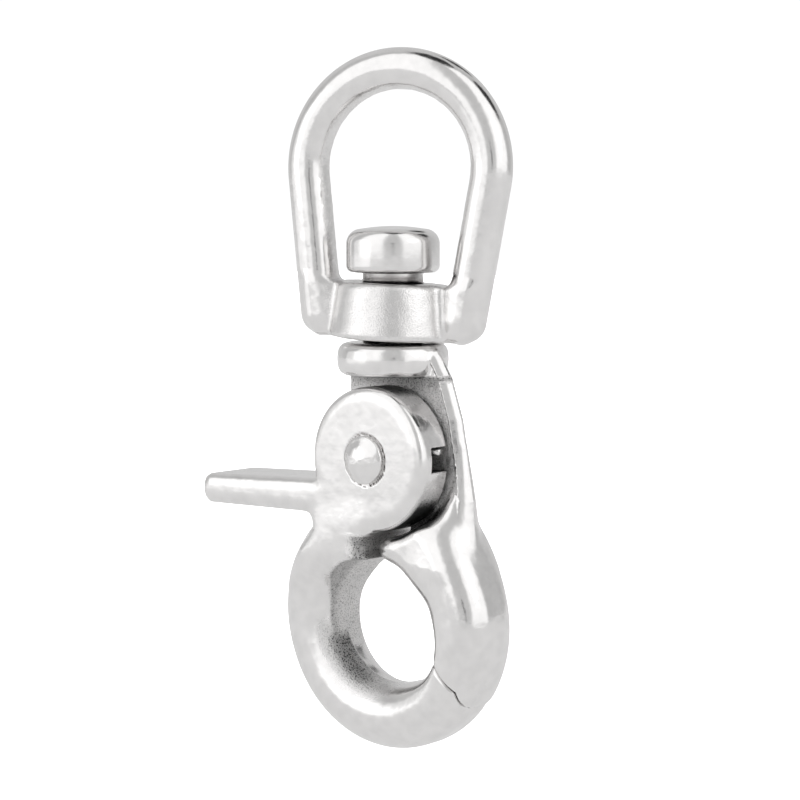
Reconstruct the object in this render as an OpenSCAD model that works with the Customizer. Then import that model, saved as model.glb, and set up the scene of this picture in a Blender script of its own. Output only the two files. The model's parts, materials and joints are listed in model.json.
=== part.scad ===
// Snap shackle with a swivel eye, cast and polished stainless steel.
// +Z runs up the swivel axis, the flat of the hook lies in XZ, and the front is -Y.
// The origin is on the swivel axis, at the height of the centre of the eye's crown.

/* [Eye] */
// Inside radius of the eye's crown
eye_inner_r = 9.7; // [8:0.1:14]
// Thickness of the eye's round bar
eye_bar_d = 5.4; // [4:0.1:6.5]
// Inward slant of each leg, in degrees
eye_slant = 8; // [0:1:10]
// Height of the crown's centre above the underside of the boss
eye_drop = 21.7; // [20:0.1:32]
// Thickness of the lugs that join the legs to the boss
lug_t = 4.4; // [3:0.1:5]
// Fillet between each leg and its lug
lug_fillet = 2.2; // [1:0.1:3]
// Turn of the eye about the swivel axis at rest, in degrees
eye_turn = 18.5; // [-90:0.5:90]
// Sideways lean of the eye, in degrees
eye_lean = 2.5; // [0:0.5:3]

/* [Swivel] */
// Height of the boss that the stud passes through
boss_h = 7.1; // [5:0.1:9]
// Radius of the boss at its top
boss_top_r = 6.95; // [6:0.05:8]
// Radius of the boss at its foot
boss_foot_r = 7.9; // [6.5:0.05:9]
// Radius of the stud's shank
shank_r = 3.9; // [3:0.05:4.5]
// Radial clearance of the shank in the boss
shank_clearance = 0.08; // [0.02:0.01:0.1]
// Radius of the stud's head
head_r = 5.95; // [5.4:0.05:6.6]
// Height of the stud's head
head_h = 5.9; // [4:0.1:7]
// Free height between the boss and the stud's head
head_gap = 1.3; // [0.6:0.1:2]
// Free height between the boss and the collar, on top of what the lean takes
collar_gap = 0.12; // [0.05:0.01:0.4]
// Depth of the shank in the collar
shank_seat = 3.4; // [2:0.1:4]

/* [Hook body] */
// Radius of the collar
collar_r = 7.15; // [6:0.05:8.5]
// Height of the collar
collar_h = 4.2; // [3.8:0.1:6]
// Thickness of the web
web_t = 3; // [2.4:0.1:3.4]
// Reach of the web to the left of the swivel axis
web_left = 6.3; // [5.5:0.1:7]
// Distance of the trigger's pivot to the right of the swivel axis
pivot_x = 1.2; // [0:0.1:2]
// Free height between the collar and the trigger's drum
drum_gap = 1.15; // [0.8:0.05:2]
// Distance of the spine's outer edge from the drum
spine_gap = 2; // [1.6:0.1:3]
// Radial gap between the drum and the claw's shoulder
shoulder_gap = 0.9; // [0.6:0.1:1.5]
// Depth of the claw from front to back
claw_depth = 10.5; // [9:0.1:12]

/* [Ring of the hook] */
// Distance of the ring's centre to the right of the swivel axis
ring_x = 0.4; // [0:0.1:1]
// Height of the trigger's pivot above the ring's opening
root_h = 13.15; // [12.4:0.05:15]
// Radius of the ring's opening
ring_inner_r = 8.2; // [7:0.1:9]
// Thickness of the ring's bar, measured across the opening
ring_bar = 8.3; // [7:0.1:9]
// Radius of the lobe that the opening has beside the split
lobe_r = 4.4; // [3.5:0.1:5]
// Angle of the split's bend, below the horizontal, in degrees
split_angle = 28.5; // [22:0.5:40]
// Distance of the split's bend outside the opening
split_depth = 6.6; // [4.5:0.1:7.2]
// Gap at the split
split_gap = 0.16; // [0.1:0.02:0.3]

/* [Trigger] */
// Radius of the drum
drum_r = 9.15; // [8.5:0.05:9.6]
// Thickness of the trigger in front of the web, where the spring is
front_cheek = 5.7; // [4.6:0.1:7]
// Thickness of the trigger behind the web
back_cheek = 1.9; // [1.5:0.1:5]
// Depth of the jaw at the bottom of the ring
jaw_depth = 9.5; // [8:0.1:11]
// Reach of the lever to the left of the swivel axis
lever_reach = 28.5; // [24:0.5:34]
// Height of the lever's top edge below the pivot
lever_top = 2.8; // [2.4:0.1:3.4]
// Height of the lever at its root
lever_h = 4.7; // [4:0.1:6]
// Gap on each side of the web
web_clearance = 0.1; // [0.05:0.05:0.3]
// How far the trigger opens, in degrees
open_angle = 38; // [20:1:40]

/* [Pivot pin and spring] */
// Radius of the pin's shank
pin_r = 2; // [1.5:0.05:2.4]
// Radial clearance of the pin in the web
pin_clearance = 0.05; // [0.02:0.01:0.1]
// Radius of the pin's domed heads
pin_head_r = 3.25; // [2.8:0.05:3.8]
// Height of the pin's domed heads
pin_head_h = 1.2; // [0.6:0.1:1.6]
// Diameter of the spring's wire
wire_d = 1; // [0.8:0.05:1.1]
// Mean radius of the spring's coil
coil_r = 3.1; // [2.9:0.05:3.3]

/* [Hidden] */
$fn = 72;
steel = [0.78, 0.79, 0.8];
bright = [0.84, 0.85, 0.86];
spring_steel = [0.45, 0.46, 0.48];
cut = 60;                  // a cutter's size, past every face
edge_r = 0.9;              // rounding of the drum and the collar
head_edge_r = 1.7;         // rounding of the stud's head

// heights along the swivel axis
crown_r = eye_inner_r + eye_bar_d / 2;
boss_z = -eye_drop;
boss_mid = boss_z + boss_h / 2;
seat_gap = collar_gap + boss_foot_r * sin(eye_lean);
collar_z = boss_z - seat_gap - collar_h;
neck_z = boss_z + boss_h + head_gap;
pivot_z = collar_z - drum_gap - drum_r;
ring_z = pivot_z - root_h - ring_inner_r;

// the trigger's slot and the web's edge, as seen from the pivot
web_r = pivot_x + web_left;
stop_room = 0.9;           // room for the web inside the trigger's rim
stop_spare = 2;            // degrees left between the web and the rim when open
slot_r = web_r + stop_room;
slot_end = 180 - acos(web_r / slot_r) + open_angle + stop_spare;
slot_start = -84;
shoulder_r = drum_r + shoulder_gap;
spine_x = pivot_x + drum_r + spine_gap;
ring_outer_r = ring_inner_r + ring_bar;
ring_mid_r = ring_inner_r + ring_bar / 2;
split_in = 134;            // directions of the split's two flats, from their bend
split_out = -87;
nose_angle = 76;           // where the claw ends, round the ring
jaw_angle = 100;           // where the jaw's bar starts, round the ring
cheek_y = web_t / 2 + web_clearance;
front_y = -cheek_y - front_cheek;
back_y = cheek_y + back_cheek;
trigger_t = back_y - front_y;
trigger_mid = (front_y + back_y) / 2;

// the spring, from the leg beside the web to the last turn
wire_gap = 0.12;           // between turns
spring_gap = 0.2;          // between the spring and the walls of its pocket
coil_turns = 2.25;
coil_pitch = wire_d + wire_gap;
leg_y = -cheek_y - spring_gap - wire_d / 2;
tail_y = leg_y - coil_turns * coil_pitch;
pocket_r = coil_r + wire_d / 2 + 1.4;
pocket_depth = wire_d / 2 + spring_gap - tail_y - cheek_y;
notch_depth = 3.1;
notch_low = -1.15;
notch_high = 1.9;

// Stands a drawing up in XZ, with its thickness centred on Y.
module upright(t) {
    rotate([90, 0, 0])
        linear_extrude(t, center = true)
            children();
}

// Puts the drawing's centre on the trigger's pivot.
module at_pivot() {
    translate([pivot_x, pivot_z])
        children();
}

// A turned part's profile: a rectangle whose outer corners are rounded.
module round_edged(r, z0, z1, e) {
    rotate_extrude()
        union() {
            translate([0, z0])
                square([r - e, z1 - z0]);
            translate([0, z0 + e])
                square([r, z1 - z0 - 2 * e]);
            for (z = [z0 + e, z1 - e])
                translate([r - e, z])
                    circle(e);
        }
}

// A wedge of the plane about the origin, from angle a0 to angle a1.
module sector(r, a0, a1) {
    polygon(concat([[0, 0]], [for (i = [0:6]) r * dir(a0 + (a1 - a0) * i / 6)]));
}

function dir(a) = [cos(a), sin(a)];

// The ring's bar in section: a full oval, w across by d deep.
function full(c) = sign(c) * pow(abs(c), 0.88);
module bar_section(w, d) {
    polygon([for (a = [0:15:345]) [w / 2 * full(cos(a)), d / 2 * full(sin(a))]]);
}

// A stretch of the ring from angle a0 to angle a1, anticlockwise from +X.
module ring_stretch(a0, a1, d) {
    translate([ring_x, 0, ring_z])
        rotate([90, 0, 0])
            rotate_extrude(angle = a1 - a0, start = a0)
                translate([ring_mid_r, 0])
                    bar_section(ring_bar, d);
}

// The claw's side of the split, as an outline round the ring's centre.
// Two flats meet near the outside, so that the jaw's tip rests under the claw's.
module claw_side(gap) {
    bend = (ring_inner_r + split_depth) * dir(-split_angle) + gap * dir((split_in + split_out) / 2);
    inner_end = bend + ring_bar * dir(split_in);
    outer_end = bend + ring_bar * dir(split_out);
    polygon(concat(
        [inner_end, bend, outer_end],
        [for (a = [-30:20:90]) 2 * ring_outer_r * dir(a)],
        [[-ring_bar, 2 * ring_outer_r], [-ring_bar, 0]]));
}

// The opening of the ring: round, with a lobe beside the split.
module ring_opening() {
    translate([ring_x, 0, ring_z])
        rotate([90, 0, 0])
            cylinder(cut, r = ring_inner_r, center = true);
    translate([ring_x + lobe_r + 0.3, 0, ring_z - lobe_r / 2])
        rotate([90, 0, 0])
            cylinder(cut, r = lobe_r, center = true);
}

// ---- the eye ----

// A leg ends in a ball, and its top runs a little way up inside the crown.
module eye_leg(side) {
    foot = -eye_drop + eye_bar_d / 2;
    length = (-foot - crown_r * sin(eye_slant)) / cos(eye_slant);
    leg_r = eye_bar_d / 2 - 0.02;
    translate([side * crown_r * cos(eye_slant), 0, -crown_r * sin(eye_slant)])
        rotate([0, side * eye_slant + 180, 0])
            rotate_extrude()
                intersection() {
                    union() {
                        translate([0, -0.3])
                            square([leg_r, length + 0.3]);
                        translate([0, length])
                            circle(leg_r);
                    }
                    translate([0, -0.3])
                        square([eye_bar_d, 2 * eye_drop]);
                }
}

// Distance of a leg's centre line from the eye's axis, at height z.
function leg_x(z) = crown_r * cos(eye_slant) + (z + crown_r * sin(eye_slant)) * tan(eye_slant);

// The lugs: a plate between the legs, with a fillet where it rises into each leg.
module eye_lugs() {
    foot_x = leg_x(eye_bar_d / 2 - eye_drop);
    bottom = boss_z + 0.25;
    top = boss_z + boss_h - 0.3;
    fillet_x = leg_x(top + lug_fillet) - eye_bar_d / 2 - lug_fillet + 0.25;
    upright(lug_t)
        difference() {
            polygon([
                [-foot_x, bottom],
                [foot_x, bottom],
                [leg_x(top + lug_fillet), top + lug_fillet],
                [-leg_x(top + lug_fillet), top + lug_fillet]]);
            for (side = [-1, 1])
                translate([side * fillet_x, top + lug_fillet])
                    circle(lug_fillet);
            translate([-fillet_x, top])
                square([2 * fillet_x, cut]);
        }
}

module eye_casting() {
    rotate([90, 0, 0])
        rotate_extrude(angle = 180 + 2 * eye_slant, start = -eye_slant)
            translate([crown_r, 0])
                circle(eye_bar_d / 2);
    for (side = [-1, 1])
        eye_leg(side);
    eye_lugs();
    translate([0, 0, boss_z])
        cylinder(boss_h, boss_foot_r, boss_top_r);
}

// The loop leans about the middle of its boss, while the bore stays upright on the shank.
module swivel_eye() {
    color(steel)
        rotate([0, 0, eye_turn])
            difference() {
                translate([0, 0, boss_mid])
                    rotate([0, eye_lean, 0])
                        translate([0, 0, -boss_mid])
                            eye_casting();
                translate([0, 0, boss_z - boss_h])
                    cylinder(3 * boss_h, r = shank_r + shank_clearance);
            }
}

// ---- the stud that the eye turns on ----

module swivel_stud() {
    color(bright)
        union() {
            round_edged(head_r, neck_z, neck_z + head_h, head_edge_r);
            translate([0, 0, collar_z + collar_h - shank_seat])
                cylinder(neck_z + 1 - collar_z - collar_h + shank_seat, r = shank_r);
        }
}

// ---- the hook body ----

// The web: a disc about the pivot, carried up to the collar. Its right edge is the
// spine, which leaves the collar's side and slopes out to the claw.
module web_outline() {
    at_pivot()
        circle(web_r);
    polygon([
        [-web_left, pivot_z],
        [-web_left, collar_z + 1],
        [0, collar_z + collar_h - 0.4],
        [collar_r + 0.2, collar_z + collar_h - 0.4],
        [spine_x - 2.6, collar_z],
        [spine_x - 0.95, (collar_z + pivot_z) / 2],
        [spine_x, pivot_z],
        [spine_x + 0.95, pivot_z - 5],
        ring_at(44, ring_outer_r - 0.1),
        ring_at(50, ring_mid_r),
        ring_at(nose_angle, ring_mid_r),
        [pivot_x, pivot_z]]);
}

// The claw's shoulder: a cone that swells from the spine down into the claw.
module shoulder() {
    translate([ring_x + ring_mid_r * cos(44), 0, ring_z + ring_mid_r * sin(44)])
        rotate([0, 10, 0])
            translate([0, 0, -1.5])
                cylinder(9.5, claw_depth / 2 - 0.7, 2.4);
}

module hook_body() {
    color(steel)
        difference() {
            union() {
                round_edged(collar_r, collar_z, collar_z + collar_h, edge_r);
                upright(web_t)
                    web_outline();
                difference() {
                    union() {
                        ring_stretch(-split_angle - 20, nose_angle + 2, claw_depth);
                        shoulder();
                    }
                    upright(cut)
                        difference() {
                            translate([ring_x, ring_z])
                                circle(2 * ring_outer_r);
                            translate([ring_x, ring_z])
                                claw_side(split_gap / 2);
                        }
                    translate([pivot_x, 0, pivot_z])
                        rotate([90, 0, 0])
                            cylinder(cut, r = shoulder_r, center = true);
                }
            }
            translate([0, 0, collar_z + collar_h - shank_seat])
                cylinder(cut, r = shank_r);
            translate([pivot_x, 0, pivot_z])
                rotate([90, 0, 0])
                    cylinder(cut, r = pin_r + pin_clearance, center = true);
            ring_opening();
            tail_hole();
        }
}

// ---- the trigger ----

// Stands a drawing up, as deep as the trigger.
module trigger_deep() {
    translate([0, trigger_mid, 0])
        upright(trigger_t)
            children();
}

module drum() {
    translate([pivot_x, 0, pivot_z])
        rotate([90, 0, 0])
            round_edged(drum_r, -back_y, -front_y, edge_r);
}

// The lever is the overlap of its side view and its plan, each with rounded corners.
module lever() {
    top = pivot_z - lever_top;
    nose = 1.8;
    corner = 2.2;
    intersection() {
        trigger_deep()
            union() {
                polygon([
                    [pivot_x - 2, top],
                    [nose - lever_reach, top - 1],
                    [-lever_reach, top - 1 - nose],
                    [nose - lever_reach, top - 1 - 2 * nose],
                    [pivot_x - 8, top - lever_h],
                    [pivot_x - 2, top - lever_h]]);
                translate([nose - lever_reach, top - 1 - nose])
                    circle(nose);
            }
        translate([0, 0, pivot_z - cut / 2])
            linear_extrude(cut)
                union() {
                    translate([corner - lever_reach, front_y])
                        square([lever_reach, trigger_t]);
                    for (y = [front_y + corner, back_y - corner])
                        translate([corner - lever_reach, y])
                            circle(corner);
                    translate([-lever_reach, front_y + corner])
                        square([corner, trigger_t - 2 * corner]);
                }
    }
}

// The root joins the drum and the lever to the jaw, and is as deep as the drum.
module root_outline() {
    top = pivot_z - lever_top;
    polygon([
        [pivot_x - drum_r * cos(20), pivot_z - drum_r * sin(20)],
        [pivot_x - drum_r - 3, top - lever_h + 0.4],
        [pivot_x - drum_r - 1.25, top - lever_h - 1],
        [pivot_x - drum_r - 0.2, top - lever_h - 2.6],
        ring_at(126, ring_outer_r - 0.3),
        ring_at(126, ring_inner_r + 2),
        ring_at(104, ring_inner_r + 1.4),
        [pivot_x - 1.8, pivot_z - drum_r - 1.7],
        [pivot_x, pivot_z - drum_r + 0.3],
        [pivot_x, pivot_z]]);
}

function ring_at(a, r) = [ring_x, ring_z] + r * dir(a);

// The jaw's bar, which thins from the drum's depth to the jaw's.
module jaw() {
    top_z = ring_z + ring_outer_r;
    full_z = ring_z + ring_mid_r * 0.85;
    thin_z = ring_z - ring_mid_r * 0.3;
    thin = jaw_depth * 0.36;
    ring_stretch(jaw_angle, 360 - split_angle + 14, jaw_depth);
    intersection() {
        translate([0, trigger_mid, 0])
            ring_stretch(jaw_angle, 200, trigger_t);
        rotate([90, 0, 90])
            linear_extrude(cut, center = true)
                polygon([
                    [front_y, top_z],
                    [front_y, full_z],
                    [-thin, thin_z],
                    [thin, thin_z],
                    [back_y, full_z],
                    [back_y, top_z]]);
    }
}

// Room for the web: a disc, and the rim from the claw's nose over the top to the stop.
module web_slot() {
    upright(2 * cheek_y)
        union() {
            at_pivot() {
                circle(slot_r);
                sector(drum_r + 3, slot_start, slot_end);
            }
            translate([pivot_x + 1.5, pivot_z - drum_r - 2.4])
                square([cut, drum_r + 2.4]);
        }
}

// A round pocket in the front cheek, and a notch from it out through the rim.
module spring_pocket() {
    translate([pivot_x, -cheek_y, pivot_z])
        rotate([90, 0, 0])
            cylinder(pocket_depth, r = pocket_r);
    translate([pivot_x, -cheek_y - notch_depth, pivot_z + notch_low])
        cube([cut, notch_depth, notch_high - notch_low]);
}

module trigger() {
    color(bright)
        difference() {
            union() {
                drum();
                lever();
                trigger_deep()
                    root_outline();
                difference() {
                    jaw();
                    upright(cut)
                        translate([ring_x, ring_z])
                            claw_side(-split_gap / 2);
                }
            }
            ring_opening();
            web_slot();
            spring_pocket();
            translate([pivot_x, 0, pivot_z])
                rotate([90, 0, 0])
                    cylinder(cut, r = pin_r, center = true);
        }
}

// ---- the pivot pin ----

// A domed rivet head: a slice of a ball that is pin_head_r wide and pin_head_h high.
module dome() {
    ball_r = (pin_head_r * pin_head_r + pin_head_h * pin_head_h) / (2 * pin_head_h);
    rotate_extrude()
        intersection() {
            translate([0, pin_head_h - ball_r])
                circle(ball_r);
            square([pin_head_r + 1, pin_head_h + 1]);
        }
}

module pivot_pin() {
    color(bright)
        translate([pivot_x, 0, pivot_z])
            rotate([90, 0, 0]) {
                translate([0, 0, -back_y])
                    cylinder(trigger_t, r = pin_r);
                translate([0, 0, -front_y])
                    dome();
                rotate([180, 0, 0])
                    translate([0, 0, back_y])
                        dome();
            }
}

// ---- the spring ----

tail_angle = 130;
tail_turn = 22;
tail_r = coil_r + 1.15;
tail_depth = 0.3;          // where the tail ends, inside the web
leg_z = 1.25;              // height of the leg above the pivot

function around(r, a, y) = [r * cos(a), y, r * sin(a)];

// The wire's centre line: a leg from the notch, the coil, and a tail bent back to the web.
spring_path = concat(
    [[drum_r - 0.9, leg_y, leg_z],
     [pocket_r, leg_y, leg_z]],
    [for (i = [0:32])
        around(coil_r, tail_angle + 360 * coil_turns * (i / 32 - 1), leg_y + (tail_y - leg_y) * i / 32)],
    [around(tail_r, tail_angle + tail_turn - 3, tail_y),
     around(tail_r, tail_angle + tail_turn, tail_y + 0.5),
     around(tail_r, tail_angle + tail_turn, -tail_depth)]);

// A tube with eight sides along a list of points, none of which lies on the pivot's axis.
module tube(path, r) {
    sides = 8;
    n = len(path);
    function unit(v) = v / norm(v);
    function along(i) = unit(path[min(i + 1, n - 1)] - path[max(i - 1, 0)]);
    function inward(i) = -unit([path[i][0], 0, path[i][2]]);
    function across(i) = cross(along(i), [0, 1, 0]);
    function side_of(i) = norm(across(i)) > 0.5 ? unit(across(i)) : inward(i);
    points = [for (i = [0:n - 1], k = [0:sides - 1])
        let (u = side_of(i), w = cross(u, along(i)), a = 360 * k / sides)
        path[i] + r * cos(a) * u + r * sin(a) * w];
    walls = [for (i = [0:n - 2], k = [0:sides - 1])
        let (m = (k + 1) % sides)
        each [[i * sides + k, i * sides + m, (i + 1) * sides + m],
              [i * sides + k, (i + 1) * sides + m, (i + 1) * sides + k]]];
    first_cap = [for (k = [sides - 1:-1:0]) k];
    last_cap = [for (k = [0:sides - 1]) (n - 1) * sides + k];
    polyhedron(points, concat(walls, [first_cap, last_cap]));
}

// The hole in the web that the spring's tail sits in.
module tail_hole() {
    translate([pivot_x, 0, pivot_z])
        rotate([0, -tail_angle - tail_turn, 0])
            translate([tail_r, 0, 0])
                rotate([90, 0, 0])
                    cylinder(web_t, r = wire_d / 2 + 0.1);
}

module torsion_spring() {
    color(spring_steel)
        translate([pivot_x, 0, pivot_z])
            tube(spring_path, wire_d / 2);
}

swivel_eye();
swivel_stud();
hook_body();
trigger();
pivot_pin();
torsion_spring();
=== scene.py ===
import bmesh
import bpy
import json
import math
import numpy as np
import openvdb
from mathutils import Matrix, Vector


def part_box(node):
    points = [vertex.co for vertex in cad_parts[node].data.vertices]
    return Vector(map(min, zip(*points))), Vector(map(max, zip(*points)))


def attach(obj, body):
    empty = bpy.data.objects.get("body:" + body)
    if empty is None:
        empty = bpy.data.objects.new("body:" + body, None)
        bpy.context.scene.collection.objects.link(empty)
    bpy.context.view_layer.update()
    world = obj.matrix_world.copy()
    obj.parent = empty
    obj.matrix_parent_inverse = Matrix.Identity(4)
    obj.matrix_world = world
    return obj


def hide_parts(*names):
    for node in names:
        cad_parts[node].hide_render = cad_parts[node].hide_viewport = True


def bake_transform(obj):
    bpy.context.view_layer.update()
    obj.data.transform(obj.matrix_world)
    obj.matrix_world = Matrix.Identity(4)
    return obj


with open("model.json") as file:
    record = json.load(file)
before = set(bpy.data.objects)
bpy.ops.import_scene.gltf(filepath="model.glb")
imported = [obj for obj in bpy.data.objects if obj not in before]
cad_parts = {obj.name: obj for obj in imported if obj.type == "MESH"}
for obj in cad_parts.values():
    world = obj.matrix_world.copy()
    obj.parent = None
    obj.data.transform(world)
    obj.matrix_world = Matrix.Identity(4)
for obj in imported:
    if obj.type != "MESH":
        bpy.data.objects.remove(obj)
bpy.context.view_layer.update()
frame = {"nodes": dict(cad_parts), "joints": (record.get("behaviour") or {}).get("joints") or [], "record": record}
print("frame loaded:", sorted(frame["nodes"]))

# shapes are worked out in millimetres, and turned into metres when a mesh is made
mm = 0.001
voxel = 0.26
joints = {j["name"]: j for j in frame["joints"]}
mounts = {m["name"]: m for m in frame["record"]["mounts"]}
pivotX, _, pivotZ = [v / mm for v in joints["trigger_pivot"]["pos_m"]]
ringX, _, ringZ = [v / mm for v in mounts["hook"]["pos_m"]]
openAngle = joints["trigger_pivot"]["range_deg"][1]
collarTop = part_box("hook_body")[1].z / mm
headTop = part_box("swivel_stud")[1].z / mm
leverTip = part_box("trigger")[0].x / mm
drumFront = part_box("trigger")[0].y / mm
pinFront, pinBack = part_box("pivot_pin")[0].y / mm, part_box("pivot_pin")[1].y / mm
drumBack = pinBack - (drumFront - pinFront)  # both rivet heads are as high
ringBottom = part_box("trigger")[0].z / mm


# the flat of the hook is turned away from the lens, which looks slightly down on it

shot = {"turn": 40.0, "dip": 5.0, "distance": 0.276, "lens": 97.0, "aimHeight": -0.030,
        "sensor": 36, "shiftX": 0.00875, "shiftY": 0.00375, "nearest": 0.01}


def direction(turn, lift):
    t, l = math.radians(turn), math.radians(lift)
    return Vector((math.sin(t) * math.cos(l), -math.cos(t) * math.cos(l), math.sin(l)))


def makeCamera():
    camera = bpy.data.objects.new("camera", bpy.data.cameras.new("camera"))
    bpy.context.scene.collection.objects.link(camera)
    toCamera = direction(shot["turn"], shot["dip"])
    camera.location = Vector((0, 0, shot["aimHeight"])) + toCamera * shot["distance"]
    camera.rotation_euler = toCamera.to_track_quat("Z", "Y").to_euler()
    camera.data.lens = shot["lens"]
    camera.data.sensor_width = shot["sensor"]
    camera.data.shift_x = shot["shiftX"]
    camera.data.shift_y = shot["shiftY"]
    camera.data.clip_start = shot["nearest"]
    bpy.context.scene.camera = camera


makeCamera()
print("camera placed")


# a shape is a signed distance, negative inside

def joined(a, b, k):
    h = np.maximum(k - np.abs(a - b), 0) / k
    return np.minimum(a, b) - h * h * k / 4


def common(a, b, k):
    return -joined(-a, -b, k)


def ramp(v, low, high):
    t = np.clip((v - low) / (high - low), 0, 1)
    return t * t * (3 - 2 * t)


def outline(corners, x, z):
    # distance to a closed outline of straight sides
    nearest = np.full(np.broadcast(x, z).shape, 1e9)
    inside = np.ones(nearest.shape)
    for (ax, az), (bx, bz) in zip(corners, corners[1:] + corners[:1]):
        ex, ez = bx - ax, bz - az
        wx, wz = x - ax, z - az
        t = np.clip((wx * ex + wz * ez) / (ex * ex + ez * ez), 0, 1)
        nearest = np.minimum(nearest, (wx - ex * t) ** 2 + (wz - ez * t) ** 2)
        rising = (z >= az) & (z < bz) & (ex * wz > ez * wx)
        falling = (z < az) & (z >= bz) & (ex * wz < ez * wx)
        inside = np.where(rising | falling, -inside, inside)
    return inside * np.sqrt(nearest)


def taperedRod(x, y, z, a, b, ra, rb):
    # a rod between two points, with its own radius at each
    ax, ay, az = a
    bx, by, bz = b
    ex, ey, ez = bx - ax, by - ay, bz - az
    t = np.clip(((x - ax) * ex + (y - ay) * ey + (z - az) * ez) / (ex * ex + ey * ey + ez * ez), 0, 1)
    gap = np.sqrt((x - ax - ex * t) ** 2 + (y - ay - ey * t) ** 2 + (z - az - ez * t) ** 2)
    return gap - ra - (rb - ra) * t


def lumps(x, y, z, size, seed):
    # soft random lumps, from a few crossed waves
    r = np.random.RandomState(seed)
    total = 0
    for _ in range(7):
        w = r.normal(size=3)
        w = w / np.linalg.norm(w) * 2 * math.pi / size * r.uniform(0.6, 1.6)
        total = total + np.sin(x * w[0] + y * w[1] + z * w[2] + r.uniform(0, 6.28))
    return total / 7


def skinned(name, shape, low, high, body, node, slot, rough=None, place=None):
    # turns a signed distance into a mesh, and settles each point exactly on the shape
    axes = [np.arange(a - 2 * voxel, b + 3 * voxel, voxel) for a, b in zip(low, high)]
    field = shape(axes[0][:, None, None], axes[1][None, :, None], axes[2][None, None, :])
    field = np.ascontiguousarray(np.broadcast_to(field, [len(a) for a in axes]), dtype=np.float32)
    grid = openvdb.FloatGrid(5.0)  # its background, in mm
    grid.copyFromArray(field)
    points, quads = grid.convertToQuads(isovalue=0.0)
    p = np.array(points, float) * voxel + np.array([a[0] for a in axes])
    for _ in range(4):
        normals, f = slope(shape, p)
        size2 = np.maximum((normals ** 2).sum(1), 0.05)
        p = p - normals * np.clip(f / size2, -voxel, voxel)[:, None]
    normals, f = slope(shape, p)
    normals = normals / np.maximum(np.linalg.norm(normals, axis=1), 1e-6)[:, None]
    quads = np.array(quads, np.int64)
    corners = p[quads]
    faceNormal = np.cross(corners[:, 2] - corners[:, 0], corners[:, 3] - corners[:, 1])
    if (faceNormal * normals[quads[:, 0]]).sum() < 0:
        quads = quads[:, ::-1]
    mesh = bpy.data.meshes.new(name)
    mesh.from_pydata((p * mm).tolist(), [], quads.tolist())
    castAndShade = mesh.attributes.new("castAndShade", "FLOAT", "POINT")
    # the rough function gives rough casting up to 1 and painted shade above 1
    amount = np.zeros(len(p)) if rough is None else rough(p[:, 0], p[:, 1], p[:, 2])
    castAndShade.data.foreach_set("value", np.clip(amount, 0, 2).astype(np.float32))
    mesh.shade_smooth()
    if place is not None:
        mesh.transform(place)
        turn = np.array(place.to_3x3())
        normals = normals @ turn.T
    mesh.normals_split_custom_set_from_vertices(normals.tolist())
    piece = bpy.data.objects.new(name, mesh)
    bpy.context.scene.collection.objects.link(piece)
    finishPiece(piece, body, slot, node)
    print(name, "has", len(quads), "faces")
    return piece


def slope(shape, p):
    step = 0.02
    x, y, z = p[:, 0], p[:, 1], p[:, 2]
    f = shape(x, y, z)
    gx = (shape(x + step, y, z) - shape(x - step, y, z)) / (2 * step)
    gy = (shape(x, y + step, z) - shape(x, y - step, z)) / (2 * step)
    gz = (shape(x, y, z + step) - shape(x, y, z - step)) / (2 * step)
    return np.stack([gx, gy, gz], 1), f


def finishPiece(piece, body, slot, *nodes):
    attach(piece, body)
    if nodes:
        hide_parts(*nodes)


# this attribute is 0 on polished faces, 1 where the casting was left rough, and up to 2 where shade is painted
# into recesses, gaps and slots

# the dark tone is used for pits, dirt speckle, mottle and painted shade
steelLook = {"colour": (0.80, 0.79, 0.785), "dirtAndShade": (0.05, 0.05, 0.05), "roughCast": 0.48,
             "mottle": 0.07, "pitSize": 0.17, "pitAreas": 0.56, "pitDark": 0.7, "pitDeep": 0.5,
             "dirtLeast": 0.06, "dirtSpeckle": 0.5, "polishRange": 0.12, "grainRange": 0.10,
             "polishedGrit": 0.012, "bump": 0.6, "bumpDepth": 0.0003}
noiseScale = {"patches": 170.0, "speckle": 2600.0, "grit": 5200.0, "pits": 900.0, "pitAreas": 330.0,
              "mottle": 650.0, "tumble": 300.0, "ripple": 1100.0, "scratches": 900.0}


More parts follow.
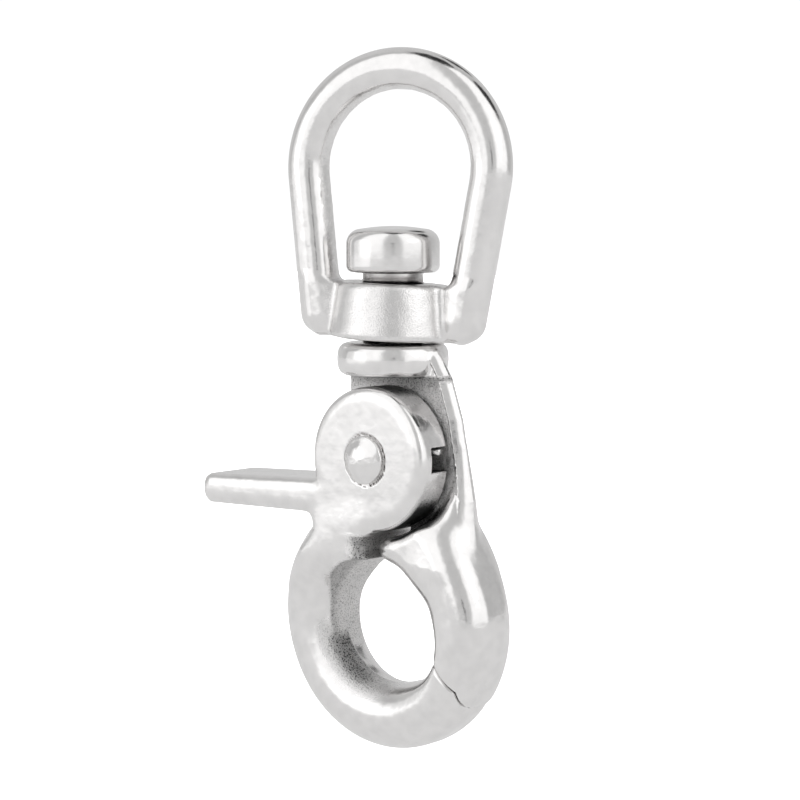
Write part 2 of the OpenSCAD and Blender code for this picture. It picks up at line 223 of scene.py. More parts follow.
def makeSteel(name, roughness, pits, waves, scratches=0.0):
    look = steelLook
    material = bpy.data.materials.new(name)
    material.use_nodes = True
    tree = material.node_tree
    tree.nodes.clear()

    def node(kind, **values):
        n = tree.nodes.new(kind)
        for key, value in values.items():
            if key in n.inputs.keys():
                n.inputs[key].default_value = value
            else:
                setattr(n, key, value)
        return n

    def mathNode(operation, a, b, clamp=False):
        n = node("ShaderNodeMath", operation=operation, use_clamp=clamp)
        for i, v in enumerate((a, b)):
            if isinstance(v, (int, float)):
                n.inputs[i].default_value = v
            else:
                tree.links.new(v, n.inputs[i])
        return n.outputs[0]

    def between(factor, a, b):
        n = node("ShaderNodeMix", data_type="RGBA")
        tree.links.new(factor, n.inputs[0])
        n.inputs[6].default_value = (*a, 1)
        n.inputs[7].default_value = (*b, 1)
        return n.outputs[2]

    output = node("ShaderNodeOutputMaterial")
    steel = node("ShaderNodeBsdfPrincipled", Metallic=1.0)
    tree.links.new(steel.outputs[0], output.inputs[0])
    where = node("ShaderNodeTexCoord").outputs["Object"]
    castAndShade = node("ShaderNodeAttribute", attribute_name="castAndShade").outputs["Fac"]

    def noise(part, detail=3.0, kind="ShaderNodeTexNoise"):
        n = node(kind, Scale=noiseScale[part])
        if "Detail" in n.inputs.keys():
            n.inputs["Detail"].default_value = detail
        tree.links.new(where, n.inputs["Vector"])
        return n.outputs[0]

    def spread(value, low, high, top=1.0):
        n = node("ShaderNodeMapRange")
        n.inputs["From Min"].default_value = low
        n.inputs["From Max"].default_value = high
        n.inputs["To Max"].default_value = top
        tree.links.new(value, n.inputs["Value"])
        return n.outputs[0]

    def about(value, amount):
        # a noise moved to lie about zero, times an amount
        return mathNode("MULTIPLY", mathNode("SUBTRACT", value, 0.5), amount)

    # slow patches of polish, fine speckle, and small pits left by the casting
    patches = noise("patches")
    speckle = noise("speckle", 4.0)
    grit = noise("grit")
    cells = noise("pits", kind="ShaderNodeTexVoronoi")
    pitHere = mathNode("LESS_THAN", cells, look["pitSize"])
    pitWhere = mathNode("GREATER_THAN", noise("pitAreas"), look["pitAreas"])
    pit = mathNode("MULTIPLY", mathNode("MULTIPLY", pitHere, pitWhere), pits)
    dirt = mathNode("MULTIPLY", spread(grit, 0.50, 0.68), look["dirtSpeckle"])
    # dirt speckle on rough casting, which grows further where the attribute carries painted shade
    dirtAndShade = mathNode("MULTIPLY", castAndShade, mathNode("ADD", dirt, look["dirtLeast"]))
    # above 1 the attribute is painted shade, taking the colour towards the dark tone
    paintedShade = mathNode("SUBTRACT", castAndShade, 1.0, True)
    dark = mathNode("ADD", mathNode("MULTIPLY", pit, look["pitDark"]), mathNode("ADD", dirtAndShade, paintedShade), True)
    mottle = spread(noise("mottle", 5.0), 0.62, 0.34, look["mottle"])
    dark = mathNode("ADD", dark, mottle, True)
    colour = between(dark, look["colour"], look["dirtAndShade"])
    tree.links.new(colour, steel.inputs["Base Color"])

    polish = mathNode("ADD", roughness, about(patches, look["polishRange"]))
    grain = about(speckle, look["grainRange"])
    rough = mathNode("MINIMUM", castAndShade, 1.0)
    cast = mathNode("MULTIPLY", rough, look["roughCast"] - roughness)
    roughest = mathNode("ADD", mathNode("ADD", polish, grain), cast, True)
    tree.links.new(roughest, steel.inputs["Roughness"])

    height = mathNode("MULTIPLY", grit, mathNode("ADD", rough, look["polishedGrit"]))
    height = mathNode("SUBTRACT", height, mathNode("MULTIPLY", pit, look["pitDeep"]))
    tumbled = mathNode("MULTIPLY", noise("tumble", 2.0), 0.55)
    tumbled = mathNode("ADD", tumbled, mathNode("MULTIPLY", noise("ripple", 2.0), 0.10))
    height = mathNode("ADD", height, mathNode("MULTIPLY", tumbled, waves))
    if scratches:
        lines = node("ShaderNodeTexNoise", Scale=noiseScale["scratches"], Detail=2.0)
        stretched = node("ShaderNodeMapping")
        stretched.inputs["Scale"].default_value = (0.08, 0.3, 1.0)
        tree.links.new(where, stretched.inputs["Vector"])
        tree.links.new(stretched.outputs[0], lines.inputs["Vector"])
        height = mathNode("ADD", height, mathNode("MULTIPLY", lines.outputs[0], scratches))
    bump = node("ShaderNodeBump", Strength=look["bump"], Distance=look["bumpDepth"])
    tree.links.new(height, bump.inputs["Height"])
    tree.links.new(bump.outputs[0], steel.inputs["Normal"])
    return material


materials = {
    "eye": makeSteel("tumbledSteel", 0.17, 0.4, 0.8),
    "stud": makeSteel("polishedSteel", 0.17, 0.3, 0.5),
    "hook": makeSteel("polishedCasting", 0.17, 0.9, 1.0),
    "trigger": makeSteel("groundCasting", 0.20, 1.0, 1.0, 0.05),
    "pin": makeSteel("hammeredRivet", 0.22, 0.4, 1.8),
    "spring": makeSteel("drawnWire", 0.25, 0.0, 0.2),
}
print("steel made")


eye = {"bar": 2.695, "crown": 12.4, "slant": 8.0, "turn": 18.5, "lean": 2.5, "drop": 21.7,
       "bossFoot": 7.9, "bossTop": 6.95, "bossHeight": 7.1, "lugDepth": 4.4, "bore": 4.1,
       "innerCurve": 3.8, "innerReach": 2.55}


def eyeShape(x, y, z):
    s = math.radians(eye["slant"])
    across = np.abs(x)
    endX, endZ = eye["crown"] * math.cos(s), -eye["crown"] * math.sin(s)
    footZ = eye["bar"] - eye["drop"]
    legLength = (endZ - footZ) / math.cos(s)
    down = -(across - endX) * math.sin(s) - (z - endZ) * math.cos(s)
    onLeg = (across - endX) * math.cos(s) - (z - endZ) * math.sin(s)
    offset = np.where(down < 0, np.hypot(x, z) - eye["crown"], onLeg)
    past = np.maximum(down - legLength, 0)
    bar = np.sqrt(offset ** 2 + past ** 2 + y ** 2) - eye["bar"]
    inner = np.hypot(offset - (eye["innerCurve"] - eye["innerReach"]), y) - eye["innerCurve"]
    inner = inner + 0.05 * lumps(x, y, z, 1.6, 4)
    bar = common(bar, inner, 0.12)
    bossZ = -eye["drop"]
    legX = endX + (z - endZ) * math.tan(s)
    lug = common(np.abs(y) - eye["lugDepth"] / 2 + 0.06 * lumps(x, y, z, 2.2, 9), across - legX, 0.5)
    lug = common(lug, np.abs(z - bossZ - 3.5) - 3.25, 0.7)
    body = joined(bar, lug, 1.7)
    up = z - bossZ - eye["bossHeight"] / 2
    narrowing = (eye["bossTop"] - eye["bossFoot"]) / eye["bossHeight"]
    bossRadius = (eye["bossFoot"] + eye["bossTop"]) / 2 + narrowing * up
    boss = common(np.hypot(x, y) - bossRadius, np.abs(up) - eye["bossHeight"] / 2, 0.9)
    body = joined(body, boss, 0.9)
    bore = np.maximum(np.hypot(x, y) - eye["bore"], z - bossZ - 2 * eye["bossHeight"])
    return common(body, -bore, 0.5)


def eyeRough(x, y, z):
    # the inside of the bar and the faces of the lugs weren't polished
    s = math.radians(eye["slant"])
    endX, endZ = eye["crown"] * math.cos(s), -eye["crown"] * math.sin(s)
    onLeg = (np.abs(x) - endX) * math.cos(s) - (z - endZ) * math.sin(s)
    offset = np.where(z > endZ, np.hypot(x, z) - eye["crown"], onLeg)
    inner = ramp(-offset, 2.1, 2.3) * 0.22
    foot = ramp(-z, eye["drop"] - 9.0, eye["drop"] - 6.0)
    lugFace = foot * ramp(-offset, 1.4, 2.4) * ramp(np.hypot(x, y), 7.6, 8.3) * 0.3
    return np.maximum(inner, lugFace)


def makeEye():
    reach = eye["crown"] + eye["bar"]
    mid = Matrix.Translation((0, 0, (-eye["drop"] + eye["bossHeight"] / 2) * mm))
    lean = Matrix.Rotation(math.radians(eye["lean"]), 4, "Y")
    place = Matrix.Rotation(math.radians(eye["turn"]), 4, "Z") @ mid @ lean @ mid.inverted()
    piece = skinned("eyeCasting", eyeShape, (-reach, -8, -eye["drop"]), (reach, 8, reach), "eye",
                    "swivel_eye", "eye_steel", eyeRough, place)
    piece.data.materials.append(materials["eye"])


makeEye()


stud = {"head": 5.95, "height": 5.9, "shank": 3.9, "sunk": 2.5, "topRound": 1.9, "footRound": 0.9,
        "dome": 0.35}


def lathe(name, profile, body, node, slot, material, steps=96, wobble=None):
    # turns a profile of (radius, height) points about Z
    r = np.array([p[0] for p in profile])
    h = np.array([p[1] for p in profile])
    a = np.arange(steps) * 2 * math.pi / steps
    x, y = np.outer(np.cos(a), r), np.outer(np.sin(a), r)
    z = np.broadcast_to(h, x.shape).copy()
    if wobble is not None:
        x, y, z = wobble(x, y, z)
    points = np.stack([x, y, z], 2).reshape(-1, 3)
    n = len(profile)
    faces = []
    for i in range(steps):
        j = (i + 1) % steps
        for k in range(n - 1):
            faces.append((i * n + k, j * n + k, j * n + k + 1, i * n + k + 1))
    mesh = bpy.data.meshes.new(name)
    mesh.from_pydata((points * mm).tolist(), [], faces)
    mesh.update()
    piece = bpy.data.objects.new(name, mesh)
    bpy.context.scene.collection.objects.link(piece)
    weld(mesh)
    mesh.shade_smooth()
    mesh.materials.append(material)
    finishPiece(piece, body, slot, node)
    return piece


def weld(mesh):
    work = bmesh.new()
    work.from_mesh(mesh)
    bmesh.ops.remove_doubles(work, verts=work.verts, dist=0.000002)
    bmesh.ops.recalc_face_normals(work, faces=work.faces)
    work.to_mesh(mesh)
    work.free()


def corner(cx, cz, r, start, end, steps=10):
    # points of a rounded corner on a lathe profile
    turns = [math.radians(start + (end - start) * i / steps) for i in range(steps + 1)]
    return [(cx + r * math.cos(t), cz + r * math.sin(t)) for t in turns]


def makeStud():
    top = headTop
    foot = top - stud["height"]
    s = stud
    flat = s["head"] - s["topRound"]
    profile = [(0.001, collarTop - s["sunk"]), (s["shank"], collarTop - s["sunk"])]
    profile += [(s["shank"], foot - 0.1), (s["shank"] + 0.12, foot)]
    profile += corner(s["head"] - s["footRound"], foot + s["footRound"], s["footRound"], -90, 0)
    profile += corner(flat, top - s["dome"] - s["topRound"], s["topRound"], 0, 86, 16)
    profile += [(r, top - s["dome"] * (r / flat) ** 2) for r in (3.4, 2.6, 1.7, 0.8, 0.001)]
    lathe("studHead", profile, "hook", "swivel_stud", "stud_steel", materials["stud"])


makeStud()


hook = {"collar": 7.15, "collarHeight": 4.2, "barrel": 0.45, "web": 3.0, "webLeft": 6.3, "recess": 0.35,
        "spine": 1.35, "shoulderGap": 0.9, "drum": 9.15, "opening": 8.2, "bar": 8.29, "depth": 10.5,
        "roundness": 3.95, "lobe": 4.4, "bend": 28.5, "bendDepth": 6.6, "flatIn": 134.0, "flatOut": -87.0,
        "gap": 0.3, "nose": 0.3}
collarFoot = collarTop - hook["collarHeight"]
ringMid = hook["opening"] + hook["bar"] / 2
ringOuter = hook["opening"] + hook["bar"]


def around(angle, radius):
    a = math.radians(angle)
    return ringX + radius * math.cos(a), ringZ + radius * math.sin(a)


def spineEdge(z):
    # how far right the spine reaches at a height
    heights = [ringZ + 11.4, pivotZ - 5, pivotZ, (collarFoot + pivotZ) / 2, collarFoot, collarTop]
    reach = [13.4, pivotX + 12.1, pivotX + 11.15, pivotX + 10.2, pivotX + 8.45, 7.1]
    return np.interp(z, heights, reach)


def splitSides(x, z):
    # distances to the split's two flats, which meet at a bend; positive is the claw's side
    bendX, bendZ = around(-hook["bend"], hook["opening"] + hook["bendDepth"])
    first = math.radians(hook["flatIn"] - 90)
    second = math.radians(hook["flatOut"] + 90)
    one = (x - bendX) * math.cos(first) + (z - bendZ) * math.sin(first)
    two = (x - bendX) * math.cos(second) + (z - bendZ) * math.sin(second)
    return one, two


def ringAngle(x, z):
    return np.degrees(np.arctan2(z - ringZ, x - ringX))


def ringBar(x, y, z, depth, roundness):
    rho = np.hypot(x - ringX, z - ringZ)
    u = np.abs(rho - ringMid) - (hook["bar"] / 2 - roundness)
    v = np.abs(y) - (depth / 2 - roundness)
    return np.hypot(np.maximum(u, 0), np.maximum(v, 0)) + np.minimum(np.maximum(u, v), 0) - roundness


def hookShape(x, y, z):
    r = np.hypot(x, y)
    up = z - collarTop + hook["collarHeight"] / 2
    barrel = r - hook["collar"] + hook["barrel"] * (up / 2.1) ** 2
    collar = common(barrel, np.abs(up) - hook["collarHeight"] / 2, 1.1)
    fromPivot = np.hypot(x - pivotX, z - pivotZ)
    edge = spineEdge(z)
    plate = common(z - collarTop + 0.5 + 0.25 * np.maximum(-x, 0), -x - hook["webLeft"], 0.4)
    plate = np.maximum(plate, pivotZ - z)
    disc = fromPivot - (pivotX + hook["webLeft"])
    toClaw = outline([(pivotX, pivotZ + 6), (pivotX + 20, pivotZ + 6), (pivotX + 20, ringZ + 11.4),
                      around(50, ringMid), around(74, ringMid)], x, z)
    plate = np.maximum(np.minimum(np.minimum(plate, disc), toClaw), x - edge)
    half = hook["web"] / 2 + 0 * x
    onFloor = ramp(edge - x, hook["spine"] - 0.15, hook["spine"] + 0.15)
    half = half - onFloor * (hook["recess"] - 0.07 * lumps(x, y, z, 1.3, 21))
    web = common(plate, np.abs(y) - half, 0.35 + 2.2 * ramp(x - edge, -2.5, -0.8))
    body = joined(web, collar, 0.35)
    # the claw's bar is round at the split and squarer at its nose
    claw = ringBar(x, y, z, hook["depth"], hook["roundness"] - 1.3 * ramp(ringAngle(x, z), 12, 58))
    foot = around(43, ringMid)
    head = (pivotX + 10.0, pivotZ + 1.5)
    shoulder = taperedRod(x, y, z, (foot[0], 0, foot[1]), (head[0], 0, head[1]), 4.6, 0.4)
    one, two = splitSides(x, z)
    side = np.minimum(hook["gap"] / 2 - one, hook["gap"] / 2 - two)
    claw = common(claw, side, 0.5)
    claw = joined(claw, shoulder, 2.2)
    # the nose is cut back, then hollowed to pass the drum, and its tip is rounded between the two
    nose = ringX + hook["nose"] - x - 0.12 * (z - ringZ - 8)
    nose = common(nose, hook["drum"] + hook["shoulderGap"] - fromPivot, 3.4)
    claw = common(claw, nose, 1.8)
    body = joined(body, claw, 0.8)
    lobeX, lobeZ = ringX + hook["lobe"] + 0.3, ringZ - hook["lobe"] / 2
    body = common(body, hook["lobe"] - np.hypot(x - lobeX, z - lobeZ), 2.2)
    return common(body, 2.1 - fromPivot, 0.2)


def hookCastAndShade(x, y, z):
    onFloor = ramp(spineEdge(z) - x, hook["spine"] - 0.2, hook["spine"] + 0.2)
    onFloor = onFloor * ramp(collarFoot - z, -0.1, 0.1)
    flat = ramp(-np.abs(y), -1.65, -1.55) * onFloor * ramp(z, ringZ + 11, ringZ + 12)
    # the recess floor is rough casting, with painted shade deepening towards the collar
    flat = flat * (1 + 0.3 * ramp(z, collarFoot - 2.2, collarFoot - 0.2))
    fromPivot = np.hypot(x - pivotX, z - pivotZ)
    # painted shade darkens the gap between the drum and the claw's shoulder
    toDrum = hook["drum"] + hook["shoulderGap"] + 0.45 - fromPivot
    gapShade = ramp(toDrum, 0, 0.5) * ramp(pivotZ - z, 4, 7) * 1.75
    # painted shade just under the collar
    shadeUnderCollar = ramp(collarFoot + 0.35 - z, 0, 0.3) * ramp(z - collarFoot, -0.6, -0.3) * 1.3
    return np.maximum(np.maximum(flat, gapShade), shadeUnderCollar)


def makeHook():
    low = (-hook["collar"], -hook["collar"], ringZ - 15)
    high = (ringX + ringOuter, hook["collar"], collarTop)
    piece = skinned("hookCasting", hookShape, low, high, "hook", "hook_body", "body_steel", hookCastAndShade)
    piece.data.materials.append(materials["hook"])


makeHook()


trigger = {"drum": 9.15, "edge": 1.7, "leverTop": 2.8, "leverFall": 1.0, "leverFoot": 7.5, "nose": 1.8,
           "tipCorner": 2.2, "jawDepth": 9.5, "jawRound": 3.95, "slot": 1.6, "slotDisc": 8.4,
           "hole": 8.5, "pocket": 5.0, "pocketDepth": 3.92, "notchDepth": 3.1,
           "notchUp": 0.375, "notchHalf": 1.525, "sink": 3.25, "sinkDepth": 0.45}
halfDrum = (drumBack - drumFront) / 2
midDrum = (drumBack + drumFront) / 2


def leverShape(x, z):
    t = trigger
    top = pivotZ - t["leverTop"]
    tip = leverTip
    end = top - t["leverFall"]
    return outline([(pivotX - 2, top), (tip + t["nose"], end), (tip + 0.75, end - 0.45),
                    (tip + 0.2, end - 1.1), (tip, end - 1.9), (tip + 0.2, end - 2.8),
                    (tip + 0.75, end - 3.5), (tip + t["nose"], end - 4.0),
                    (pivotX - 8, pivotZ - t["leverFoot"]), (pivotX - 2, pivotZ - t["leverFoot"])], x, z)


def frontShape(x, z):
    # the front view of everything that is as deep as the drum
    t = trigger
    drum = np.hypot(x - pivotX, z - pivotZ) - t["drum"]
    opening = hook["opening"]
    root = outline([(pivotX - 8.4, pivotZ - 3.2), (-8.3, pivotZ - 7.2), (-7.9, pivotZ - 9.4),
                    (-8.6, pivotZ - 10.7), (-10.0, pivotZ - 12.3), (-11.5, pivotZ - 14.8),
                    (-12.5, pivotZ - 17.6), around(158, opening + 2.2), around(140, opening),
                    around(120, opening), around(100, opening - 0.2), around(84, opening - 0.6),
                    (pivotX + 0.7, pivotZ - 13.4), (-0.5, pivotZ - 12.2), (-0.9, pivotZ - 11),
                    (-0.2, pivotZ - 9.9), (pivotX, pivotZ - 9.0), (pivotX, pivotZ)], x, z)
    front = joined(drum, leverShape(x, z), 0.5)
    return joined(front, root, 1.6)


def triggerShape(x, y, z):
    t = trigger
    fromPivot = np.hypot(x - pivotX, z - pivotZ)
    front = frontShape(x, z)
    taper = ramp(ringZ + 9.5 - z, 0, 11)
    half = halfDrum - taper * (halfDrum - 3.4)
    off = np.abs(y - midDrum * (1 - taper))
    rounding = t["edge"] + 4.0 * ramp(ringZ + 8 - z, -2, 6)
    body = common(front, off - half, rounding)
    cornerX = np.maximum(leverTip + t["tipCorner"] - x, 0)
    cornerY = np.maximum(np.abs(y - midDrum) - halfDrum + t["tipCorner"], 0)
    body = common(body, np.hypot(cornerX, cornerY) - t["tipCorner"], 1.2)
    depth = t["jawDepth"] + 1.0 * ramp(z, ringZ - 8, ringZ + 8)
    jaw = ringBar(x, y, z, depth, t["jawRound"])
    one, two = splitSides(x, z)
    side = np.maximum(one + hook["gap"] / 2, two + hook["gap"] / 2)
    side = np.minimum(side, x - ringX + 1.5)
    body = joined(body, common(jaw, side, 0.5), 3.2)
    rho = np.hypot(x - ringX, z - ringZ)
    hole = t["hole"] - 0.45 * ramp(ringZ - 2 - z, 0, 5)
    uneven = 0.06 * lumps(x, y, z, 1.4, 5) * ramp(z, ringZ - 6, ringZ - 2)
    body = common(body, hole - rho + uneven, 0.25)
    lobeX, lobeZ = ringX + hook["lobe"] + 0.3, ringZ - hook["lobe"] / 2
    body = common(body, hook["lobe"] - np.hypot(x - lobeX, z - lobeZ), 1.8)
    # room for the web, from the claw's nose over the top to the stop
    stopAngle = math.pi - math.acos((pivotX + hook["webLeft"]) / t["slotDisc"])
    start = stopAngle + math.radians(openAngle + 2)
    end = math.radians(276)
    px, pz = x - pivotX, z - pivotZ
    wedge = np.maximum(px * math.sin(start) - pz * math.cos(start),
                       -px * math.sin(end) + pz * math.cos(end))
    slot = np.minimum(fromPivot - t["slotDisc"], np.maximum(-wedge, fromPivot - t["drum"] - 3))
    byNose = np.maximum(pivotX + 1.5 - x, pivotZ - t["drum"] - 2.4 - z)
    slot = np.minimum(slot, byNose)
    slot = np.maximum(slot, np.abs(y) - t["slot"])
    body = common(body, -slot, 0.35)
    # the spring's pocket in the front cheek, and its notch in the rim
    fromSlot = y + t["slot"]
    pocket = np.maximum(fromPivot - t["pocket"], np.maximum(fromSlot - 0.1, -fromSlot - t["pocketDepth"]))
    notch = np.maximum(np.maximum(pivotX - x, np.abs(pz - t["notchUp"]) - t["notchHalf"]),
                       np.maximum(fromSlot - 0.1, -fromSlot - t["notchDepth"]))
    body = common(body, -np.minimum(pocket, notch), 0.2)
    # a shallow countersink round each rivet head
    ring = fromPivot - t["sink"] - 0.12 * lumps(x, y, z, 1.5, 3)
    sink = np.maximum(ring, halfDrum - t["sinkDepth"] - np.abs(y - midDrum))
    return common(body, -sink, 0.25)


def triggerCastAndShade(x, y, z):
    rho = np.hypot(x - ringX, z - ringZ)
    inner = ramp(trigger["hole"] + 0.25 - rho, 0, 0.15) * ramp(z, ringZ - 5, ringZ - 3)
    # the hole's inner wall is rough casting, darker towards the front
    inner = inner * (1.0 + 0.2 * ramp(-y, 1.3, 2.9))
    angle = ringAngle(x, z) % 360
    # painted shade: a dark band along the lower left of the ring's inner edge, on the front half
    hollowShade = ramp(angle, 176, 205) * ramp(-angle, -300, -235) * (y < 0) * 1.45
    hollowShade = hollowShade * ramp(rho, 7.9, 8.3) * ramp(-rho, -10.6, -8.4)
    # the scoop under the throat is rough casting with painted shade over it
    scoopCastAndShade = ramp(x, -2.4, -0.6) * ramp(pivotZ - z, 9.3, 10.0) * ramp(z, ringZ + 6.0, ringZ + 7.5) * 1.3
    px, pz = x - pivotX, z - pivotZ
    fromPivot = np.hypot(px, pz)
    # painted shade in the slot, in the spring's notch, and on the rim where it passes the claw and the collar
    inRim = trigger["drum"] - fromPivot
    slotShade = ramp(trigger["slot"] + 0.12 - np.abs(y), 0, 0.05) * ramp(inRim, 0.1, 0.4) * 2
    notchShade = ramp(trigger["notchHalf"] + 0.095 - np.abs(pz - trigger["notchUp"]), 0, 0.08)
    notchShade = notchShade * ramp(y + 4.85, 0, 0.1) * (px > 0) * (y < -1) * ramp(inRim, 0.12, 0.24) * 2
    turn = np.degrees(np.arctan2(pz, px))
    rim = ramp(y - drumFront, 0.9, 2.2) * ramp(-inRim, -0.6, -0.1) * ramp(inRim, -0.3, -0.1)
    low = ramp(-turn, 14, 44) * ramp(turn, -110, -96) * 1.9
    top = ramp(turn, 44, 74) * ramp(-turn, -138, -112) * 1.65
    rimShade = rim * np.maximum(low, top)
    return np.maximum.reduce([inner, hollowShade, scoopCastAndShade, slotShade, notchShade, rimShade])


def makeTrigger():
    low = (leverTip, drumFront, ringBottom)
    high = (pivotX + trigger["drum"] + 4, 5.5, pivotZ + trigger["drum"])
    piece = skinned("triggerCasting", triggerShape, low, high, "trigger", "trigger",
                    "trigger_steel", triggerCastAndShade)
    piece.data.materials.append(materials["trigger"])


makeTrigger()


pin = {"shank": 2.0, "head": 3.05, "edge": 0.35, "crown": 0.28}


def makePin():
    face = halfDrum
    top = halfDrum + drumFront - pinFront
    rise = top - face - pin["crown"]
    half = [(pin["shank"], 0.0), (pin["shank"], face - 0.45), (pin["head"] - 0.1, face - 0.42)]
    half += corner(pin["head"] - pin["edge"], face + 0.02, pin["edge"], -60, 50, 6)
    half += [(r, top - rise * (r / 2.8) ** 2.2) for r in (2.6, 2.3, 1.9, 1.5, 1.1, 0.7, 0.35, 0.001)]
    profile = [(r, -h) for r, h in half[::-1]] + half[1:]

    def hammered(x, y, z):
        dent = 0.17 * lumps(x, y, z, 1.9, 8) * ramp(np.abs(z), face - 0.5, face + 0.2)
        squeeze = 1 + 0.03 * lumps(x * 0.4, y * 0.4, z, 3.0, 2)
        return x * squeeze, y * squeeze, z - np.sign(z) * np.abs(dent)

    piece = lathe("rivet", profile, "trigger", "pivot_pin", "pin_steel", materials["pin"], wobble=hammered)
    place = Matrix.Translation((pivotX * mm, midDrum * mm, pivotZ * mm))
    piece.data.transform(place @ Matrix.Rotation(math.radians(90), 4, "X"))


makePin()


spring = {"wire": 0.5, "coil": 3.1, "turns": 2.25, "pitch": 1.12, "steps": 60, "tail": 130.0,
          "tailTurn": 22.0, "leg": 1.25}


def tube(name, path, radius, sides=12):
    path = [Vector(p) for p in path]
    points, faces = [], []
    along = (path[1] - path[0]).normalized()
    side = along.cross(Vector((0, 1, 0.02))).normalized()
    for i, p in enumerate(path):
        ahead = path[min(i + 1, len(path) - 1)] - path[max(i - 1, 0)]
        ahead.normalize()
        side = (side - ahead * side.dot(ahead)).normalized()
        other = ahead.cross(side)
        for k in range(sides):
            a = 2 * math.pi * k / sides
            points.append((p + side * radius * math.cos(a) + other * radius * math.sin(a)) * mm)
    for i in range(len(path) - 1):
        for k in range(sides):
            m = (k + 1) % sides
            faces.append((i * sides + k, i * sides + m, (i + 1) * sides + m, (i + 1) * sides + k))
    faces.append(tuple(range(sides))[::-1])
    faces.append(tuple((len(path) - 1) * sides + k for k in range(sides)))
    mesh = bpy.data.meshes.new(name)
    mesh.from_pydata([tuple(p) for p in points], [], faces)
    weld(mesh)
    mesh.shade_smooth()
    mesh.materials.append(materials["spring"])
    piece = bpy.data.objects.new(name, mesh)
    bpy.context.scene.collection.objects.link(piece)
    return piece


def makeSpring():
    s = spring
    near = -(trigger["slot"] + 0.2 + s["wire"])
    far = near - s["turns"] * s["pitch"]

    def at(r, a, y):
        a = math.radians(a)
        return pivotX + r * math.cos(a), y, pivotZ + r * math.sin(a)

    path = [(pivotX + hook["drum"] - 0.75, near, pivotZ + s["leg"]), (pivotX + 5, near, pivotZ + s["leg"])]
    for i in range(s["steps"] + 1):
        share = i / s["steps"]
        path.append(at(s["coil"], s["tail"] + 360 * s["turns"] * (share - 1), near + (far - near) * share))
    coil = tube("springCoil", path, s["wire"])
    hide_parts("torsion_spring")
    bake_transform(coil)
    # the tail bends outwards, then runs back into the web
    bend = s["tail"] + s["tailTurn"]
    path = [at(s["coil"], s["tail"] - 6, far), at(s["coil"] + 0.5, s["tail"] + 8, far),
            at(s["coil"] + 1.05, bend - 4, far), at(s["coil"] + 1.15, bend, far + 0.5),
            at(s["coil"] + 1.15, bend, -0.3)]
    tail = tube("springTail", path, s["wire"])
    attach(tail, "hook")


makeSpring()
print("pieces made")


studio = {"floorDrop": 0.045, "white": 1.05, "panel": 1.25, "gap": 0.52, "flank": 0.45, "back": 0.54,
          "floor": 0.6, "floorSeen": 1.3, "floorMirrored": 0.15, "floorSize": 3.0}
# dark holes in the tent: where they are from the lens, how wide, and how dark at the rim and the middle
holes = [
    {"turn": 150, "lift": 84, "widest": 0.95, "edge": (0.30, 0.48), "grey": (0.03, 0.02)},  # overhead
    {"turn": 0, "lift": 5, "widest": 0.99, "edge": (0.70, 0.88), "grey": (0.2, 0.15)},  # round the lens
    {"turn": 108, "lift": 42, "widest": 0.95, "edge": (0.42, 0.60), "grey": (0.05, 0.03)},
    {"turn": 152, "lift": 47, "widest": 0.95, "edge": (0.70, 0.84), "grey": (0.05, 0.03)},
]
# soft lamps: turn from the lens, lift, distance and size in metres, power
lamps = {"softLeft": (-84, 0, 0.6, 0.62, 0.312), "softRight": (52, 24, 0.6, 0.26, 0.12)}


def makeFloor():
    size = studio["floorSize"]
    z = ringBottom * mm - studio["floorDrop"]
    mesh = bpy.data.meshes.new("floor")
    corners = [(-size, -size, z), (size, -size, z), (size, size, z), (-size, size, z)]
    mesh.from_pydata(corners, [], [(0, 1, 2, 3)])
    floor = bpy.data.objects.new("floor", mesh)
    bpy.context.scene.collection.objects.link(floor)
    material = bpy.data.materials.new("paleFloor")
    material.use_nodes = True
    shader = material.node_tree.nodes["Principled BSDF"]
    shader.inputs["Base Color"].default_value = (0.8, 0.8, 0.8, 1)
    shader.inputs["Roughness"].default_value = 0.9
    shader.inputs["Emission Color"].default_value = (1, 1, 1, 1)
    # the lens sees a lit floor, and the steel mirrors a duller one
    tree = material.node_tree
    seen = tree.nodes.new("ShaderNodeMapRange")
    seen.inputs["To Min"].default_value = studio["floorMirrored"]
    seen.inputs["To Max"].default_value = studio["floorSeen"]
    tree.links.new(tree.nodes.new("ShaderNodeLightPath").outputs["Is Camera Ray"], seen.inputs["Value"])
    tree.links.new(seen.outputs[0], shader.inputs["Emission Strength"])
    mesh.materials.append(material)


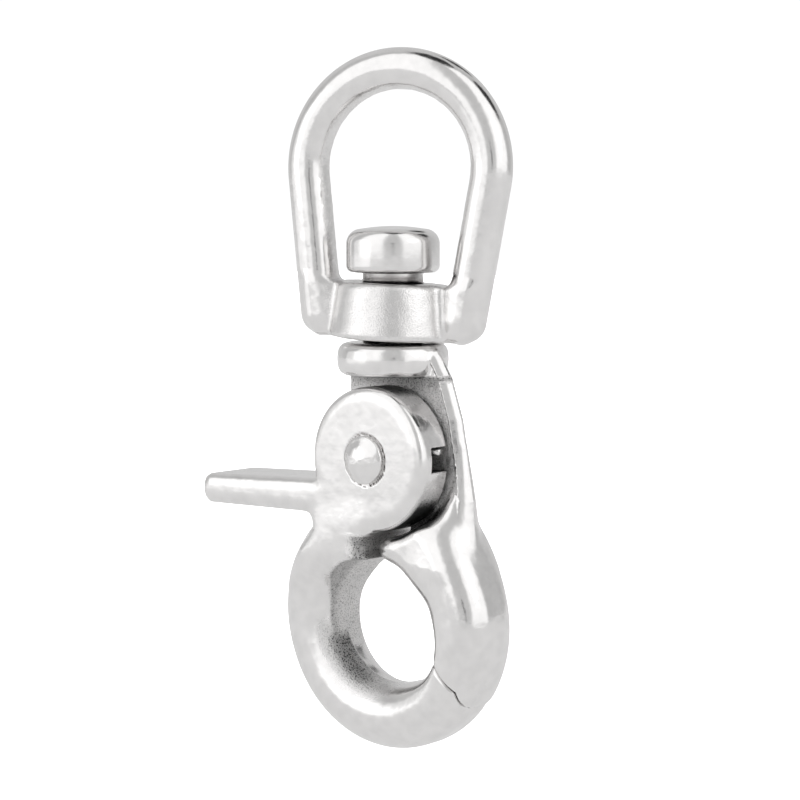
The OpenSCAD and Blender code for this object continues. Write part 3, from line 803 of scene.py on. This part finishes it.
def makeWorld():
    # a light tent: white panels either side of the lens, a grey gap between them, and dark holes
    world = bpy.data.worlds.new("lightTent")
    bpy.context.scene.world = world
    world.use_nodes = True
    tree = world.node_tree
    tree.nodes.clear()
    output = tree.nodes.new("ShaderNodeOutputWorld")
    where = tree.nodes.new("ShaderNodeTexCoord").outputs["Generated"]

    def facing(turn, lift):
        # cosine between the direction looked in and the one given
        n = tree.nodes.new("ShaderNodeVectorMath")
        n.operation = "DOT_PRODUCT"
        tree.links.new(where, n.inputs[0])
        n.inputs[1].default_value = direction(turn, lift)
        return n.outputs["Value"]

    def stops(value, low, high, colours):
        m = tree.nodes.new("ShaderNodeMapRange")
        m.inputs["From Min"].default_value = low
        m.inputs["From Max"].default_value = high
        tree.links.new(value, m.inputs["Value"])
        r = tree.nodes.new("ShaderNodeValToRGB")
        greys = r.color_ramp.elements
        for i, (place, grey) in enumerate(colours):
            e = greys[i] if i < 2 else greys.new(place)
            e.position = place
            e.color = (grey, grey, grey, 1)
        tree.links.new(m.outputs[0], r.inputs[0])
        return r.outputs[0]

    def times(a, b):
        n = tree.nodes.new("ShaderNodeMix")
        n.data_type = "RGBA"
        n.blend_type = "MULTIPLY"
        n.inputs[0].default_value = 1.0
        tree.links.new(a, n.inputs[6])
        tree.links.new(b, n.inputs[7])
        return n.outputs[2]

    # sideways from the lens: grey gap, white panel, grey flank, pale back
    flat = tree.nodes.new("ShaderNodeVectorMath")
    flat.operation = "MULTIPLY"
    flat.inputs[1].default_value = (1, 1, 0)
    tree.links.new(where, flat.inputs[0])
    unit = tree.nodes.new("ShaderNodeVectorMath")
    unit.operation = "NORMALIZE"
    tree.links.new(flat.outputs[0], unit.inputs[0])
    turned = tree.nodes.new("ShaderNodeVectorMath")
    turned.operation = "DOT_PRODUCT"
    tree.links.new(unit.outputs[0], turned.inputs[0])
    turned.inputs[1].default_value = direction(shot["turn"], 0)
    s = studio
    bands = stops(turned.outputs["Value"], -1, 1, [
        (0.0, s["back"]), (1.0, s["gap"]), (0.16, s["back"]), (0.30, s["flank"]), (0.44, s["flank"]),
        (0.54, 1.0), (0.94, 1.0), (0.975, s["gap"])])
    roof = stops(facing(0, 90), -1, 1, [(0.0, s["floor"]), (1.0, 1.0), (0.30, s["floor"]), (0.46, 1.0)])
    tent = times(bands, roof)
    for hole in holes:
        outer, inner = hole["edge"]
        rim, middle = hole["grey"]
        toHole = facing(shot["turn"] + hole["turn"], hole["lift"])
        tent = times(tent, stops(toHole, hole["widest"], 1.0,
                                 [(0.0, 1.0), (1.0, middle), (outer, 1.0), (inner, rim)]))
    inTent = tree.nodes.new("ShaderNodeBackground")
    tree.links.new(tent, inTent.inputs["Color"])
    inTent.inputs["Strength"].default_value = s["panel"]
    behind = tree.nodes.new("ShaderNodeBackground")
    behind.inputs["Color"].default_value = (1, 1, 1, 1)
    behind.inputs["Strength"].default_value = s["white"]
    ray = tree.nodes.new("ShaderNodeLightPath")
    mix = tree.nodes.new("ShaderNodeMixShader")
    tree.links.new(ray.outputs["Is Camera Ray"], mix.inputs[0])
    tree.links.new(inTent.outputs[0], mix.inputs[1])
    tree.links.new(behind.outputs[0], mix.inputs[2])
    tree.links.new(mix.outputs[0], output.inputs["Surface"])


def makeLamp(name, turn, lift, distance, size, power):
    lamp = bpy.data.objects.new(name, bpy.data.lights.new(name, "AREA"))
    bpy.context.scene.collection.objects.link(lamp)
    lamp.data.shape = "DISK"
    lamp.data.size = size
    lamp.data.energy = power
    toLamp = direction(turn, lift)
    lamp.location = Vector((0, 0, shot["aimHeight"])) + toLamp * distance
    lamp.rotation_euler = toLamp.to_track_quat("Z", "Y").to_euler()


makeFloor()
makeWorld()
for name, (turn, lift, distance, size, power) in lamps.items():
    makeLamp(name, shot["turn"] + turn, lift, distance, size, power)
bpy.context.scene.view_settings.view_transform = "Standard"
print("studio made")
